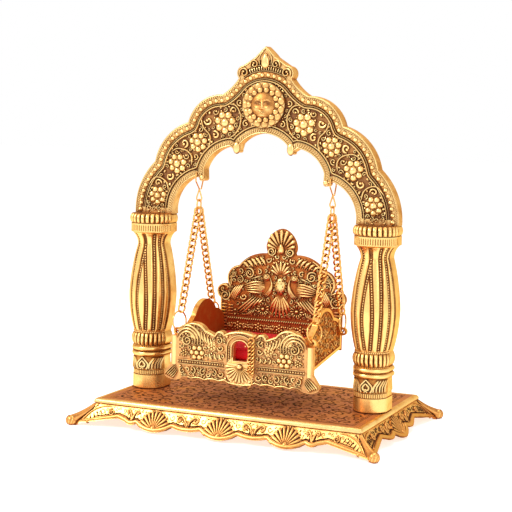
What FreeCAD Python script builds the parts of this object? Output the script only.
import FreeCAD, Part
import math
import os

V = FreeCAD.Vector
os.makedirs("parts", exist_ok=True)

# Stand, overall
base_height = 18.0
base_half_depth = 62.0
pillar_spacing = 168.4
pillar_height = 125.7
arch_rise = 118.3
arch_thickness = 8.5
arch_foot_reach = 14.6
arch_relief = 0.8
border_width = 4.0

# Tray: plate, skirt and feet
plate_thickness = 3.0
plate_margin = 0.3
skirt_wall = 2.4
rim_height = 2.6
skirt_mid_height = 8.0
skirt_mid_flare = 5.0
foot_reach_x = 13.2
foot_reach_y = 11.0
foot_radius = 3.6
foot_flat = 0.3
skirt_notch_height = 7.2
skirt_relief = 0.7
skirt_lip_width = 2.2
shell_root_share = 0.17
shell_reach_share = 0.75
shell_lobes = 9
shell_lobe_rise = 0.7

# Pillars
pillar_side_depth = 10.5
drum_radius = 11.8
ring_radius = 12.8
moulding_bulge_share = 0.424
waist_radius = 11.4
bulge_radius = 15.4
neck_radius = 9.8
band_radius = 14.7
capital_radius = 14.7
groove_depth = 0.6
pillar_screw_diameter = 4.0
pillar_screw_grip = 12.0
screw_head_diameter = 8.0
screw_head_height = 2.4
screw_clearance = 0.3
thread_clearance = 0.02

# Arch details
medallion_radius = 15.6
medallion_height = 2.2
medallion_drop = 40.0
face_radius = 9.4
face_height = 2.6
rosette_radius = 4.6
rosette_height = 1.2
crest_drop_radius = 3.2
crest_drop_height = 1.4

# Hooks
hook_wire = 1.0
hook_clearance = 0.08
hook_drop = 19.8
hook_leg_gap = 1.25
hook_bend = 1.5
hook_loop_length = 8.5
hook_loop_radius = 2.0
hook_end_length = 11.5
hook_knot_radius = 0.7

# Chains
chain_wire = 1.1
chain_link_width = 5.6
chain_link_pitch = 5.8
link_gap = 0.05
top_link_radius = 3.2
top_link_gap = 0.1

# Rings and ears of the seat
ring_mean_radius = 7.0
ring_wire = 1.0
ear_spacing = 60.0
ear_rise = 32.3
ear_reach = 3.0
ear_thickness = 2.5
ear_radius = 2.8
ear_hole_diameter = 2.8
ear_clearance = 0.15

# Seat
seat_clearance = 32.2
front_height = 40.3
post_drop = 2.3
front_thickness = 4.8
front_overhang = 2.2
foot_overhang = 5.1
apron_height = 9.8
back_thickness = 2.6
back_setback = 3.8
back_overhang = 2.7
back_height = 84.2
back_skirt = 1.5
side_thickness = 3.6
side_height = 42.0
floor_thickness = 1.6
floor_lift = 0.8
floor_slope = 9.5
window_half_width = 5.3
window_sill = 6.5
window_height = 14.0
panel_border = 2.2
panel_relief = 0.8
shell_radius = 10.5
hump_boss_radius = 3.4
hump_boss_height = 1.0

# Cushion
cushion_height = 15.2
cushion_gap = 0.4
cushion_crown = 2.0
cushion_draw = 1.6

# Pull chain at the front
pull_wire = 0.8
pull_link_width = 4.0
pull_link_inner = 3.0
pull_links = 8
pull_hook_length = 8.0
pull_tail_wire = 0.7
clip_wire = 0.9
clip_gap = 0.35
clip_bend = 1.1
clip_stand_off = 1.2
clip_hook_flat = 0.4
clip_leg_length = 1.2
clip_tip_length = 0.5

# One overrun for all cuts
overrun = 1.0

# Lower edges of the skirt from the middle out: share of the half span, share of the notch height
long_edge_shares = [
    (0.0, 0.22, True), (0.1275, 0.78, False), (0.2265, 0.58, True), (0.326, 0.78, False),
    (0.453, 0.22, True), (0.581, 0.78, False), (0.618, 0.60, True), (0.656, 0.78, False),
    (0.718, 1.0, False), (1.0, 0.17, False),
]
short_edge_shares = [
    (0.0, 0.22, True), (0.195, 0.78, False), (0.31, 0.58, True), (0.425, 0.78, False),
    (0.52, 1.0, False), (1.0, 0.17, False),
]
# Middles of the cast shells on the long and the short sides: share of the half span
long_shell_shares = [-0.453, 0, 0.453]
short_shell_shares = [0]

# Outline shares of the arch: of its half width, and of its rise
arch_outer_shares = [
    (0.0, 1.0, False), (0.045, 0.966, True), (0.075, 0.939, False), (0.115, 0.917, True),
    (0.167, 0.890, False), (0.2125, 0.855, True), (0.2, 0.815, False), (0.25, 0.765, True),
    (0.321, 0.720, False), (0.489, 0.675, True), (0.587, 0.552, False), (0.764, 0.456, True),
    (0.847, 0.312, False), (0.956, 0.188, True), (1.0, 0.0, False),
]
arch_inner_shares = [
    (0.0, 0.498, True), (0.177, 0.434, False), (0.19, 0.395, False), (0.204, 0.380, True),
    (0.218, 0.395, False), (0.258, 0.417, False), (0.388, 0.366, True), (0.455, 0.280, False),
    (0.452, 0.225, False), (0.470, 0.205, True), (0.490, 0.225, False), (0.526, 0.231, False),
    (0.643, 0.159, True), (0.696, 0.0, False),
]
# Rosette and hook places: share of the half width, share of the rise
rosette_shares = [(0.298, 0.555), (0.512, 0.440), (0.662, 0.296), (0.820, 0.106)]
crest_drop_share = 0.925
hook_place_share = 0.509
hook_hole_share = 0.25

# Pillar profile, from the foot up: height shares of its levels
drum_top_share = 0.080
strip_top_share = 0.112
petal_top_share = 0.187
moulding_mid_share = 0.217
moulding_top_share = 0.247
gadroon_top_share = 0.325
bulge_share = 0.550
neck_share = 0.845
throat_share = 0.890
band_top_share = 0.945

# Seat back: share of its half width, share of its height
back_shares = [
    (0.0, 1.0, True), (0.15, 0.965, False), (0.262, 0.885, True), (0.236, 0.780, False),
    (0.42, 0.765, True), (0.66, 0.665, False), (0.80, 0.620, True), (0.80, 0.475, False),
]
back_waist_share = 0.945
back_scroll_share = 0.1768
# Seat front: share of its half width, share of its height
front_shares = [
    (0.0, 0.915, True), (0.18, 0.875, False), (0.225, 0.845, False), (0.31, 0.890, True),
    (0.365, 0.815, False), (0.49, 0.880, False), (0.667, 1.0, True), (0.86, 0.850, False),
    (0.895, 0.820, False),
]
post_foot_share = 0.275
hump_boss_shares = [(0.66, 0.80), (0.40, 0.62)]
# Leaf feet: share of the width over the feet, share of the apron's height
foot_shares = [(0.985, 0.5, False), (1.0, 0.25, True), (0.97, 0.05, False), (0.9, -0.1, True)]
# Apron of the front: share of the half width, share of the apron's height
apron_shares = [
    (0.85, 0.05, False), (0.77, 0.16, True), (0.70, 0.02, False), (0.60, 0.14, True),
    (0.50, 0.02, False), (0.40, 0.14, True), (0.30, 0.05, False), (0.22, 0.16, False),
    (0.17, 0.02, False), (0.0, -0.07, True),
]
# Low end of the wire clip in the window: shares of its half width and of its height
clip_low_share = 0.64
clip_rise_share = 0.75
# Side panels: share of the depth from the front, share of the height over the front's low edge
side_shares = [
    (0.0, 0.60, False), (0.11, 0.62, False), (0.24, 0.76, False), (0.50, 1.0, True),
    (0.76, 0.80, False), (0.93, 0.70, True), (1.0, 0.58, False),
]
# Crown of the cushion: share of its height, and its inset in units of the drawn-in side
crown_shares = [(0.0, 2.0), (0.75, 5.0), (1.0, 10.0)]

# Derived places
base_top = base_height
pillar_x = pillar_spacing / 2
base_half_length = pillar_x + drum_radius + plate_margin
foot_x = base_half_length + foot_reach_x
foot_y = base_half_depth + foot_reach_y
capital_top = base_top + pillar_height
arch_half = pillar_x + arch_foot_reach
arch_front = -arch_thickness / 2
arch_back = arch_thickness / 2
pillar_y = arch_back - pillar_side_depth
hook_x = hook_place_share * arch_half
hook_hole_height = capital_top + hook_hole_share * arch_rise
loop_bottom = hook_hole_height - hook_drop
top_link_height = loop_bottom + (hook_wire + chain_wire) / 2 + top_link_gap - top_link_radius
front_bottom = seat_clearance
ear_height = front_bottom + ear_rise
ear_y = ear_spacing / 2
seat_inner_front = -ear_y - ear_thickness / 2 - ear_clearance
seat_front_y = seat_inner_front - front_thickness
seat_inner_back = ear_y + back_setback
side_face_x = hook_x - ear_reach
seat_inner_half = side_face_x - side_thickness
seat_half_width = hook_x + front_overhang
post_top = ear_height - post_drop
back_half_width = side_face_x + back_overhang
side_low_front = front_bottom + apron_height
side_low_back = side_low_front + floor_slope
back_bottom = side_low_back - back_skirt
window_bottom = side_low_front + window_sill
cushion_top = side_low_front + cushion_height
chain_reach = math.hypot(ear_y, top_link_height - ear_height)
chain_span = chain_reach - top_link_radius - 2 * ring_mean_radius
chain_angle = math.degrees(math.atan2(ear_y, top_link_height - ear_height))
chain_links = 2 * round((chain_span / chain_link_pitch - 1) / 2) + 1
X_AXIS = V(1, 0, 0)
Y_AXIS = V(0, 1, 0)
Z_AXIS = V(0, 0, 1)
ORIGIN = V(0, 0, 0)


def line(a, b):
    return Part.LineSegment(a, b).toShape()


def edges_through(points):
    """Edges through points; a point marked True is the middle of a three-point arc."""
    edges = []
    index = 0
    while index < len(points) - 1:
        here = points[index][0]
        after, is_mid = points[index + 1]
        if is_mid:
            edges.append(Part.Arc(here, after, points[index + 2][0]).toShape())
            index += 2
        else:
            edges.append(line(here, after))
            index += 1
    return edges


def with_mirror(points):
    """Complete an outline that starts on the mid-plane with its mirror image in X."""
    left = [(V(-p.x, p.y, p.z), mid) for p, mid in reversed(points[1:])]
    return left + points


def filled(points):
    """Face inside a closed run of points."""
    closed = points + [(points[0][0], False)]
    return Part.Face(Part.Wire(edges_through(closed)))


def scaled_points(shares, width, low, height, y):
    """Outline points in the XZ plane from shares of a width and a height."""
    return [(V(u * width, y, low + v * height), mid) for u, v, mid in shares]


def fused(shapes):
    body = shapes[0]
    for other in shapes[1:]:
        body = body.fuse(other)
    return body.removeSplitter()


def rounded_path(points, bend):
    """Wire along points whose inner corners are rounded to one bend radius."""
    edges = []
    start = points[0]
    for before, corner, after in zip(points, points[1:], points[2:]):
        into = (corner - before).normalize()
        out = (after - corner).normalize()
        half_turn = into.getAngle(out) / 2
        cut = bend * math.tan(half_turn)
        enter = corner - into * cut
        leave = corner + out * cut
        inward = (out - into).normalize()
        centre = corner + inward * (bend / math.cos(half_turn))
        edges.append(line(start, enter))
        edges.append(Part.Arc(enter, centre - inward * bend, leave).toShape())
        start = leave
    edges.append(line(start, points[-1]))
    return Part.Wire(edges)


def rod(path, diameter):
    """Round wire swept along a path."""
    first = path.OrderedEdges[0]
    at = first.valueAt(first.FirstParameter)
    along = first.tangentAt(first.FirstParameter)
    section = Part.Wire(Part.makeCircle(diameter / 2, at, along))
    return path.makePipeShell([section], True, True)


def save(name, shape):
    """Write one named piece to its own file."""
    solids = shape.Solids
    body = solids[0] if len(solids) == 1 else Part.makeCompound(solids)
    body.exportStep("parts/" + name + ".step")
    print(name, len(solids), "solids", round(body.Volume, 1), "valid", body.isValid())


# Tray
def tray_section(z, flare_x, flare_y, inset):
    half_length = base_half_length + flare_x - inset
    half_depth = base_half_depth + flare_y - inset
    corners = [V(-half_length, -half_depth, z), V(half_length, -half_depth, z),
               V(half_length, half_depth, z), V(-half_length, half_depth, z)]
    return Part.makePolygon(corners + corners[:1])


def tray_block():
    """Straight rim over a skirt that widens towards the feet."""
    return Part.makeLoft([
        tray_section(base_top, 0, 0, 0), tray_section(base_top - rim_height, 0, 0, 0),
        tray_section(skirt_mid_height, skirt_mid_flare, skirt_mid_flare, 0),
        tray_section(0, foot_reach_x, foot_reach_y, 0),
    ], True, True)


def tray_hollow():
    return Part.makeLoft([
        tray_section(base_top - plate_thickness, 0, 0, skirt_wall),
        tray_section(skirt_mid_height, skirt_mid_flare, skirt_mid_flare, skirt_wall),
        tray_section(0, foot_reach_x, foot_reach_y, skirt_wall),
    ], True, True)


def tray_cutter(shares, half_span, reach):
    """Block under the lobed lower edge of two opposite skirt sides."""
    edge = with_mirror(scaled_points(shares, half_span, 0, skirt_notch_height, -reach))
    edge.append((V(half_span, -reach, -overrun), False))
    edge.append((V(-half_span, -reach, -overrun), False))
    return filled(edge).extrude(V(0, 2 * reach, 0))


def shell_pad(x, reach):
    """Scalloped half-round prism of one cast shell, along Y."""
    room = base_top - rim_height
    points = []
    for index in range(2 * shell_lobes + 1):
        angle = math.pi * index / (2 * shell_lobes)
        is_lobe = index % 2 == 1
        radius = shell_reach_share * room + is_lobe * shell_lobe_rise
        z = shell_root_share * room + radius * math.sin(angle)
        points.append((V(x + radius * math.cos(angle), -reach, z), is_lobe))
    return filled(points).extrude(V(0, 2 * reach, 0))


def skirt_relief_prisms(shares, shell_shares, half_span, reach):
    """Lip along the lobed lower edge and the shells above it, as prisms along Y."""
    lip = with_mirror(scaled_points(shares, half_span, skirt_lip_width, skirt_notch_height, -reach))
    lip.append((V(half_span, -reach, -overrun), False))
    lip.append((V(-half_span, -reach, -overrun), False))
    shells = [shell_pad(share * half_span, reach) for share in shell_shares]
    return filled(lip).extrude(V(0, 2 * reach, 0)).fuse(shells)


def relief_block(grow_x, grow_y):
    """Skirt without its rim, thickened outwards along one axis."""
    return Part.makeLoft([
        tray_section(base_top - rim_height, grow_x, grow_y, 0),
        tray_section(skirt_mid_height, skirt_mid_flare + grow_x, skirt_mid_flare + grow_y, 0),
        tray_section(0, foot_reach_x + grow_x, foot_reach_y + grow_y, 0),
    ], True, True)


def screw_places():
    return [V(side * pillar_x, pillar_y, 0) for side in (-1, 1)]


def make_base_tray():
    long_span = foot_x - foot_radius
    short_span = foot_y - foot_radius
    long_relief = skirt_relief_prisms(long_edge_shares, long_shell_shares, long_span, foot_y + overrun)
    short_relief = skirt_relief_prisms(short_edge_shares, short_shell_shares, short_span, foot_x + overrun)
    long_cut = tray_cutter(long_edge_shares, long_span, foot_y + overrun)
    short_cut = tray_cutter(short_edge_shares, short_span, foot_x + overrun)
    for turned in (short_relief, short_cut):
        turned.rotate(ORIGIN, Z_AXIS, 90)
    body = tray_block()
    body = body.fuse([relief_block(0, skirt_relief).common(long_relief),
                      relief_block(skirt_relief, 0).common(short_relief)])
    body = body.cut(tray_hollow()).cut(long_cut).cut(short_cut)
    for sx in (-1, 1):
        for sy in (-1, 1):
            centre = V(sx * foot_x, sy * foot_y, foot_radius - foot_flat)
            body = body.fuse(Part.makeSphere(foot_radius, centre))
    below = Part.makeBox(4 * foot_x, 4 * foot_y, foot_radius, V(-2 * foot_x, -2 * foot_y, -foot_radius))
    body = body.cut(below)
    for place in screw_places():
        hole = Part.makeCylinder(pillar_screw_diameter / 2 + screw_clearance, base_top + overrun, place)
        body = body.cut(hole)
    return body.removeSplitter()


# Pillars
def pillar_profile():
    """Half silhouette as points in the XZ plane, foot to capital, with the axis at zero."""
    def at(radius, share, mid=False):
        return V(radius, 0, base_top + share * pillar_height), mid
    petal_radius = drum_radius - groove_depth
    gadroon_mid_share = (moulding_top_share + gadroon_top_share) / 2
    low_mid_share = (gadroon_top_share + bulge_share) / 2
    high_mid_share = (bulge_share + neck_share) / 2
    moulding_low_share = (petal_top_share + moulding_mid_share) / 2
    moulding_high_share = (moulding_mid_share + moulding_top_share) / 2
    moulding_height = (moulding_mid_share - petal_top_share) * pillar_height
    moulding_radius = petal_radius + moulding_bulge_share * moulding_height
    capital_mid_share = (1 + band_top_share) / 2
    low_mid_radius = (waist_radius + 3 * bulge_radius) / 4
    high_mid_radius = (neck_radius + 2 * bulge_radius) / 3
    return [
        at(drum_radius, 0), at(drum_radius, drum_top_share), at(petal_radius, drum_top_share),
        at(petal_radius, strip_top_share), at(drum_radius, strip_top_share),
        at(petal_radius, petal_top_share), at(moulding_radius, moulding_low_share, True),
        at(petal_radius, moulding_mid_share), at(moulding_radius, moulding_high_share, True),
        at(petal_radius, moulding_top_share), at(ring_radius, gadroon_mid_share, True),
        at(waist_radius, gadroon_top_share), at(low_mid_radius, low_mid_share, True),
        at(bulge_radius, bulge_share), at(high_mid_radius, high_mid_share, True),
        at(neck_radius, neck_share), at(neck_radius, throat_share),
        at(band_radius, throat_share + 2 * groove_depth / pillar_height),
        at(band_radius, band_top_share), at(capital_radius - groove_depth, band_top_share),
        at(capital_radius + groove_depth, capital_mid_share, True), at(capital_radius - groove_depth, 1),
    ]


def make_pillar(side):
    """Half-round casting: a turned front, and straight flanks back to the flat rear."""
    profile = pillar_profile()
    low = V(0, 0, base_top)
    high = V(0, 0, capital_top)
    half = filled([(low, False)] + profile + [(high, False)])
    front = half.revolve(ORIGIN, Z_AXIS, -180)
    left = [(V(-p.x, 0, p.z), mid) for p, mid in reversed(profile)]
    rear = filled(profile + left).extrude(V(0, pillar_side_depth, 0))
    body = fused([front, rear])
    body.translate(V(side * pillar_x, pillar_y, 0))
    hole_length = pillar_screw_grip + overrun
    hole_radius = pillar_screw_diameter / 2 + thread_clearance
    return body.cut(Part.makeCylinder(hole_radius, hole_length, V(side * pillar_x, pillar_y, base_top)))


def make_base_screws():
    screws = []
    for place in screw_places():
        under = base_top - plate_thickness
        head_low = V(place.x, place.y, under - screw_head_height)
        head = Part.makeCylinder(screw_head_diameter / 2, screw_head_height, head_low)
        shank = Part.makeCylinder(pillar_screw_diameter / 2, plate_thickness + pillar_screw_grip,
                                  V(place.x, place.y, under))
        screws.append(fused([head, shank]))
    return Part.makeCompound(screws)


# Arch
def arch_line(shares, y):
    return with_mirror(scaled_points(shares, arch_half, capital_top, arch_rise, y))


def arch_band(y):
    """Face of the arch: its lobed outer edge, and back along its cusped inner edge."""
    return filled(arch_line(arch_outer_shares, y) + list(reversed(arch_line(arch_inner_shares, y))))


def boss(radius, height, x, z, surface_y):
    """Round boss that stands out of the arch towards the front."""
    return Part.makeCylinder(radius, height + arch_thickness / 2, V(x, surface_y - height, z), Y_AXIS)


def dome(radius, height, z, surface_y):
    """Shallow round dome on a disc."""
    ball_radius = (radius ** 2 + height ** 2) / (2 * height)
    ball = Part.makeSphere(ball_radius, V(0, surface_y - height + ball_radius, z))
    return ball.common(Part.makeCylinder(radius, height + arch_relief, V(0, surface_y - height, z), Y_AXIS))


def make_arch():
    field_y = arch_front + arch_relief
    body = arch_band(field_y).extrude(V(0, arch_back - field_y, 0))
    face = arch_band(arch_front)
    border = face.cut(face.makeOffset2D(-border_width)).extrude(V(0, arch_relief + arch_relief, 0))
    medallion_z = capital_top + arch_rise - medallion_drop
    details = [border, boss(medallion_radius, medallion_height, 0, medallion_z, arch_front),
               dome(face_radius, face_height, medallion_z, arch_front - medallion_height)]
    for u, v in rosette_shares:
        for side in (-1, 1):
            x = side * u * arch_half
            z = capital_top + v * arch_rise
            details.append(boss(rosette_radius, rosette_height, x, z, field_y))
            details.append(boss(rosette_radius / 3, 2 * rosette_height, x, z, field_y))
    drop_z = capital_top + crest_drop_share * arch_rise
    details.append(boss(crest_drop_radius, crest_drop_height, 0, drop_z, field_y))
    body = body.fuse(details)
    hole_radius = hook_wire / 2 + hook_clearance
    for side in (-1, 1):
        low = V(side * hook_x, -arch_thickness, hook_hole_height)
        body = body.cut(Part.makeCylinder(hole_radius, 2 * arch_thickness, low, Y_AXIS))
    return body.removeSplitter()


# Hooks
def make_hook(side):
    """Wire hook: a loop through the hole in the arch, crossed below into a long eye."""
    leg = arch_back + hook_leg_gap + hook_wire / 2
    crossing = loop_bottom + hook_loop_length
    top = hook_hole_height
    end = top - hook_end_length
    upper = rod(rounded_path([V(0, 0, crossing), V(0, -leg, crossing + leg), V(0, -leg, top),
                              V(0, leg, top), V(0, leg, crossing + leg), V(0, leg / 2, end)],
                             hook_bend), hook_wire)
    centre = V(0, 0, loop_bottom + hook_loop_radius)
    reach = hook_loop_length - hook_loop_radius
    lift = math.asin(hook_loop_radius / reach)
    left = centre + V(-math.cos(lift), 0, math.sin(lift)) * hook_loop_radius
    right = centre + V(math.cos(lift), 0, math.sin(lift)) * hook_loop_radius
    peak = V(0, 0, crossing)
    loop = Part.Wire([line(peak, left), Part.Arc(left, V(0, 0, loop_bottom), right).toShape()])
    closing = rod(Part.Wire([line(right, peak)]), hook_wire)
    knot = Part.makeSphere(hook_knot_radius, peak)
    body = fused([rod(loop, hook_wire), closing, knot, upper])
    body.translate(V(side * hook_x, 0, 0))
    return body


# Chains
def make_link(inner_length, width, wire):
    """Oval link round the origin, long along Z, flat in the XZ plane."""
    bend = (width - wire) / 2
    straight = (inner_length + wire) / 2 - bend
    top = V(0, 0, straight + bend)
    bottom = V(0, 0, -straight - bend)
    right_top = V(bend, 0, straight)
    right_low = V(bend, 0, -straight)
    left_top = V(-bend, 0, straight)
    left_low = V(-bend, 0, -straight)
    path = Part.Wire([line(right_low, right_top), Part.Arc(right_top, top, left_top).toShape(),
                      line(left_top, left_low), Part.Arc(left_low, bottom, right_low).toShape()])
    return rod(path, wire)


def link_inner_length():
    """Inner length that makes the links fill the span between top link and ring."""
    ends = (chain_wire + ring_wire) / 2
    return (chain_span + ends + (chain_links + 1) * link_gap) / chain_links


def make_top_link(side):
    """Round link that joins one hook to its two chains."""
    return Part.makeTorus(top_link_radius, chain_wire / 2, V(side * hook_x, 0, top_link_height), X_AXIS)


def make_chain(side, end):
    """All links of one chain, top first; end is -1 for the front and 1 for the back."""
    inner = link_inner_length()
    down = V(0, end * ear_y, ear_height - top_link_height).normalize()
    first = V(side * hook_x, 0, top_link_height)
    first += down * (top_link_radius - chain_wire / 2 - link_gap)
    links = []
    for index in range(chain_links):
        link = make_link(inner, chain_link_width, chain_wire)
        if index % 2:
            link.rotate(ORIGIN, Z_AXIS, 90)
        link.rotate(ORIGIN, X_AXIS, end * chain_angle)
        link.translate(first + down * (inner / 2 + index * (inner - link_gap)))
        links.append(link)
    return Part.makeCompound(links)


def make_ring(side, end):
    """Plain wire ring in the plane of the chain, through the seat's ear."""
    up = V(0, -end * ear_y, top_link_height - ear_height).normalize()
    centre = V(side * hook_x, end * ear_y, ear_height) + up * ring_mean_radius
    return Part.makeTorus(ring_mean_radius, ring_wire / 2, centre, X_AXIS)


# Seat
def window_outline(y):
    """Arched window: straight jambs under a half-round head."""
    half = window_half_width
    shoulder = window_bottom + window_height - window_half_width
    return [(V(-half, y, window_bottom), False), (V(half, y, window_bottom), False),
            (V(half, y, shoulder), False), (V(0, y, window_bottom + window_height), True),
            (V(-half, y, shoulder), False)]


def front_line(y):
    """Closed outline of the front: humps and arch above, leaf feet and apron below."""
    upper = scaled_points(front_shares, seat_half_width, front_bottom, front_height, y)
    foot = scaled_points(foot_shares, seat_half_width + foot_overhang, front_bottom, apron_height, y)
    lower = scaled_points(apron_shares, seat_half_width, front_bottom, apron_height, y)
    shoulder_x = upper[-1][0].x
    post_foot = front_bottom + post_foot_share * front_height
    post = [(V(shoulder_x, y, post_top), False), (V(seat_half_width, y, post_top), False),
            (V(seat_half_width, y, post_foot), False)]
    right = upper[1:] + post + foot + lower[:-1]
    left = [(V(-p.x, p.y, p.z), mid) for p, mid in reversed(right)]
    return right + [lower[-1]] + left + [upper[0]]


def make_seat_front():
    field_y = seat_front_y + panel_relief
    body = filled(front_line(field_y)).extrude(V(0, front_thickness - panel_relief, 0))
    post_radius = front_thickness / 2
    post_low = side_low_front
    post_length = post_top - post_low
    shell_low = V(0, seat_front_y, front_bottom + shell_radius - panel_relief)
    details = [Part.makeCylinder(shell_radius, 2 * panel_relief, shell_low, Y_AXIS)]
    for side in (-1, 1):
        post_place = V(side * (seat_half_width - post_radius), seat_front_y + post_radius, post_low)
        details.append(Part.makeCylinder(post_radius, post_length, post_place))
        for u, v in hump_boss_shares:
            place = V(side * u * seat_half_width, field_y - hump_boss_height, front_bottom + v * front_height)
            details.append(Part.makeCylinder(hump_boss_radius, front_thickness / 2, place, Y_AXIS))
    window = filled(window_outline(seat_front_y - overrun))
    return body.fuse(details).cut(window.extrude(V(0, front_thickness + 2 * overrun, 0))).removeSplitter()


def make_seat_back():
    y = seat_inner_back
    points = scaled_points(back_shares, back_half_width, back_bottom, back_height, y)
    scroll_top = points[-1][0].z
    waist = back_waist_share * back_half_width
    scroll_height = back_scroll_share * back_half_width
    points.append((V(back_half_width, y, scroll_top - scroll_height / 3), True))
    points.append((V(waist, y, scroll_top - scroll_height), False))
    points.append((V(waist, y, back_bottom), False))
    right = points[1:]
    left = [(V(-p.x, p.y, p.z), mid) for p, mid in reversed(right)]
    return filled(right + left + points[:1]).extrude(V(0, back_thickness, 0))


def side_outline(x):
    depth = seat_inner_back - seat_inner_front
    points = [(V(x, seat_inner_front + u * depth, side_low_front + v * side_height), mid)
              for u, v, mid in side_shares]
    points.append((V(x, seat_inner_back, side_low_back), False))
    points.append((V(x, seat_inner_front, side_low_front), False))
    return points


def make_ear(side, end):
    """Ear on the outside of a side panel, and the bore from front to back for its ring."""
    root = side_face_x - side_thickness / 2
    x = side * hook_x
    front = V(x, end * ear_y - ear_thickness / 2, ear_height)
    knob = Part.makeCylinder(ear_radius, ear_thickness, front, Y_AXIS)
    low = V(min(side * root, x), front.y, ear_height - ear_radius)
    web = Part.makeBox(hook_x - root, ear_thickness, 2 * ear_radius, low)
    bore = Part.makeCylinder(ear_hole_diameter / 2, ear_thickness + 2 * ear_clearance,
                             front - V(0, ear_clearance, 0), Y_AXIS)
    return knob.fuse(web), bore


def make_seat_side(side):
    """Side panel with a plain border round a sunk field on its outside, and two ears."""
    inner = filled(side_outline(side * seat_inner_half))
    body = inner.extrude(V(side * side_thickness, 0, 0))
    field = filled(side_outline(side * side_face_x)).makeOffset2D(-panel_border)
    body = body.cut(field.extrude(V(-side * panel_relief, 0, 0)))
    for end in (-1, 1):
        ear, bore = make_ear(side, end)
        body = body.fuse(ear).cut(bore)
    return body.removeSplitter()


def floor_line(lift):
    """Front and back point of the sloping floor, in the YZ plane."""
    return (V(0, seat_inner_front, side_low_front + lift), V(0, seat_inner_back, side_low_back + lift))


def make_seat_floor():
    low_front, low_back = floor_line(floor_lift)
    up = V(0, 0, floor_thickness)
    points = [(low_front, False), (low_back, False), (low_back + up, False), (low_front + up, False)]
    body = filled(points).extrude(V(2 * seat_inner_half, 0, 0))
    body.translate(V(-seat_inner_half, 0, 0))
    return body


# Cushion
def cushion_section(z, inset):
    half = seat_inner_half - cushion_gap - inset
    front = seat_inner_front + cushion_gap + inset
    back = seat_inner_back - cushion_gap - inset
    corner = cushion_draw + inset / 2
    step = corner * (1 - math.sqrt(2) / 2)
    points = [
        (V(-half + corner, front, z), False), (V(half - corner, front, z), False),
        (V(half - step, front + step, z), True), (V(half, front + corner, z), False),
        (V(half, back - corner, z), False), (V(half - step, back - step, z), True),
        (V(half - corner, back, z), False), (V(-half + corner, back, z), False),
        (V(-half + step, back - step, z), True), (V(-half, back - corner, z), False),
        (V(-half, front + corner, z), False), (V(-half + step, front + step, z), True),
    ]
    closed = points + [(points[0][0], False)]
    return Part.Wire(edges_through(closed))


def make_cushion():
    """Padded seat with a low crown and drawn-in sides, lying on the slope of the floor."""
    side_levels = [(side_low_front, cushion_draw), (side_low_front + cushion_height / 2, 0),
                   (cushion_top - cushion_draw, cushion_draw / 2)]
    crown_levels = [(cushion_top + v * cushion_crown, draws * cushion_draw) for v, draws in crown_shares]
    sections = [cushion_section(z, inset) for z, inset in side_levels + crown_levels]
    body = Part.makeLoft(sections, True, True)
    front, back = floor_line(floor_lift + floor_thickness)
    deep = V(0, 0, 2 * cushion_height)
    slope = (back - front) / 2
    points = [(front - slope, False), (back + slope, False),
              (back + slope - deep, False), (front - slope - deep, False)]
    below = filled(points).extrude(V(4 * seat_inner_half, 0, 0))
    below.translate(V(-2 * seat_inner_half, 0, 0))
    return body.cut(below)


# Pull chain
def clip_frame():
    """Start in the window, the way up to the notch beside the arch, and the length between."""
    edge_u, edge_v = front_shares[2][0], front_shares[2][1]
    notch_z = front_bottom + edge_v * front_height
    low = V(clip_low_share * window_half_width, 0, window_bottom + clip_rise_share * window_height)
    high = V(edge_u * seat_half_width, 0, notch_z + clip_gap + clip_wire)
    along = high - low
    length = along.Length
    return low, along.normalize(), length


def clip_point(y, distance):
    low, along, length = clip_frame()
    return low + along * (length - distance) + V(0, y, 0)


def clip_front():
    return seat_front_y - clip_stand_off - clip_wire / 2


def clip_hook_drop():
    return 2 * clip_bend + clip_leg_length


def pull_pivot():
    """Bottom of the clip's front bend, where the chain hangs."""
    return clip_point(clip_front() - clip_bend - clip_hook_flat / 2, clip_hook_drop())


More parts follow.
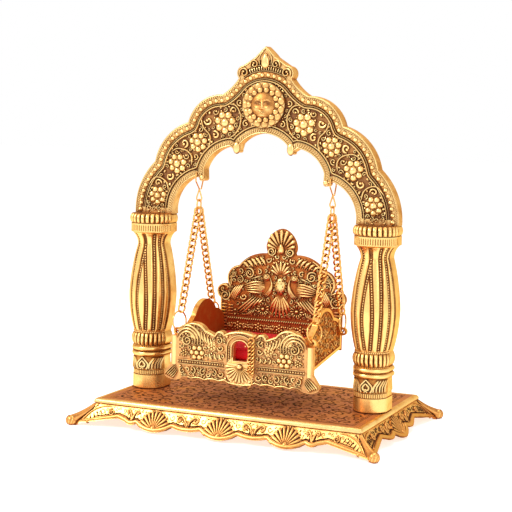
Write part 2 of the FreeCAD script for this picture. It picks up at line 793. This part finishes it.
def make_clip():
    """Bent wire: through the window, up behind the panel, over its edge and into a small hook."""
    low, along, length = clip_frame()
    front = clip_front()
    rear = seat_inner_front + clip_gap + clip_wire
    tip = front - 2 * clip_bend - clip_hook_flat
    drop = clip_hook_drop()
    points = [
        clip_point(tip, drop - clip_bend - clip_tip_length), clip_point(tip, drop),
        clip_point(front, drop), clip_point(front, 0),
        clip_point(rear, 0), clip_point(rear, length), clip_point(seat_front_y + clip_bend, length),
    ]
    return rod(rounded_path(points, clip_bend), clip_wire)


def make_pull_chain():
    start = pull_pivot() + V(0, 0, clip_wire / 2 + link_gap)
    links = []
    for index in range(pull_links):
        link = make_link(pull_link_inner, pull_link_width, pull_wire)
        if index % 2:
            link.rotate(ORIGIN, Z_AXIS, 90)
        link.translate(start - V(0, 0, pull_link_inner / 2 + index * (pull_link_inner - link_gap)))
        links.append(link)
    return Part.makeCompound(links)


def make_pull_hook():
    """Small eye under the last link, with a thin tail that curls to one side."""
    hung = pull_links * (pull_link_inner - link_gap) - link_gap
    top = pull_pivot() + V(0, 0, clip_wire / 2 - hung)
    eye_radius = (pull_link_width - pull_wire) / 2
    centre = top + V(0, 0, pull_wire / 2 - eye_radius)
    eye = Part.makeTorus(eye_radius, pull_wire / 2, centre, Y_AXIS)
    neck = centre - V(0, 0, eye_radius)
    bow = neck + V(eye_radius / 2, 0, -pull_hook_length / 2)
    tip = neck + V(-eye_radius, 0, -pull_hook_length)
    tail = rod(Part.Wire([Part.Arc(neck, bow, tip).toShape()]), pull_tail_wire)
    return fused([eye, tail])


def main():
    save("base_tray", make_base_tray())
    save("base_screws", make_base_screws())
    save("arch", make_arch())
    save("seat_front", make_seat_front())
    save("seat_back", make_seat_back())
    save("seat_floor", make_seat_floor())
    save("cushion", make_cushion())
    for side, word in ((-1, "left"), (1, "right")):
        save("pillar_" + word, make_pillar(side))
        save("hook_" + word, make_hook(side))
        save("top_link_" + word, make_top_link(side))
        save("seat_" + word, make_seat_side(side))
        for end, place in ((-1, "front"), (1, "back")):
            save("chain_" + place + "_" + word, make_chain(side, end))
            save("ring_" + place + "_" + word, make_ring(side, end))
    save("pull_clip", make_clip())
    save("pull_chain", make_pull_chain())
    save("pull_hook", make_pull_hook())


main()
